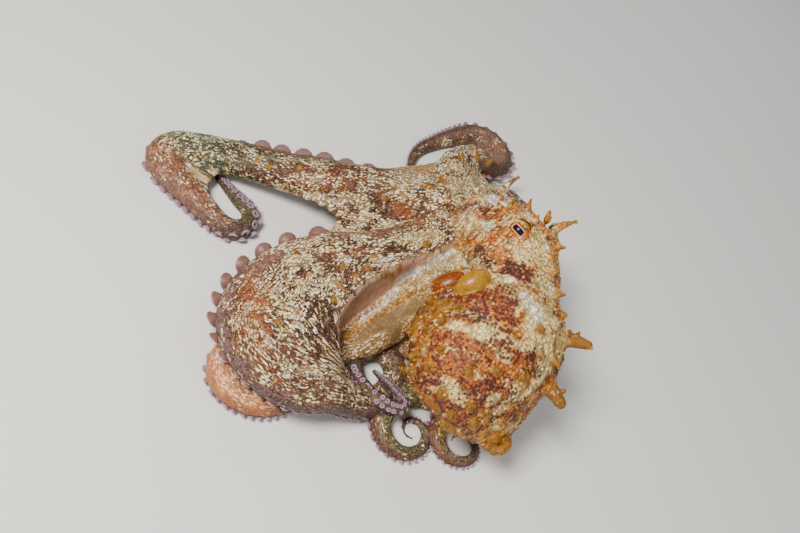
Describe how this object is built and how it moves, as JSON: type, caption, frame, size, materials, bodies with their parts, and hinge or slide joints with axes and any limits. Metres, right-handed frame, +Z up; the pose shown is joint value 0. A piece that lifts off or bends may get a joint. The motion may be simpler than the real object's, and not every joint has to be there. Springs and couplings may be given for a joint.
{
  "type": "common octopus",
  "caption": "Life-size octopus at rest on flat ground, head raised behind rounded mantle, arms spread and curled, broad web fanned out beside a folded crest.",
  "frame": {"origin": "middle of the body's bounding box, on the ground it lies on", "axes": "+Z up; +Y from the mantle towards the arms on the far side, -X towards the long outstretched arm l1"},
  "size_m": [0.3248, 0.3678, 0.1104],
  "materials": {
    "skin_brown": "moist skin, brown and cream granules",
    "skin_cream": "moist skin, cream granules",
    "skin_orange": "moist skin, orange-brown with dark purple dots",
    "siphon_orange": "smooth moist skin, orange",
    "eye": "wet, glossy"
  },
  "bodies": {
    "root": {"eye_l": "eye", "eye_r": "eye", "crown": "skin_cream", "arm_l1_base": "skin_brown", "arm_l1_mid": "skin_brown", "arm_l1_far": "skin_brown", "arm_l1_tip": "skin_brown", "arm_l2_base": "skin_brown", "arm_l2_mid": "skin_brown", "arm_l2_far": "skin_brown", "arm_l2_tip": "skin_brown", "arm_l3_base": "skin_brown", "arm_l3_mid": "skin_brown", "arm_l3_tip": "skin_brown", "arm_l4_base": "skin_brown", "arm_l4_mid": "skin_brown", "arm_l4_tip": "skin_brown", "arm_r4_base": "skin_brown", "arm_r4_mid": "skin_brown", "arm_r4_tip": "skin_brown", "arm_r3_base": "skin_brown", "arm_r3_mid": "skin_brown", "arm_r3_tip": "skin_brown", "arm_r2_base": "skin_brown", "arm_r2_mid": "skin_brown", "arm_r2_tip": "skin_brown", "arm_r1_base": "skin_brown", "arm_r1_mid": "skin_brown", "arm_r1_tip": "skin_brown", "siphon": "siphon_orange", "head": "skin_cream", "mantle": "skin_orange", "web_l2_veil": "skin_brown", "web_r1_l1": "skin_cream", "web_l1_fold": "skin_cream", "web_l1_l2": "skin_cream", "web_l2_l3": "skin_cream", "web_l3_l4": "skin_cream", "web_l4_r4": "skin_cream", "web_r3_r2": "skin_cream", "web_r2_r1": "skin_cream"}
  },
  "joints": []
}
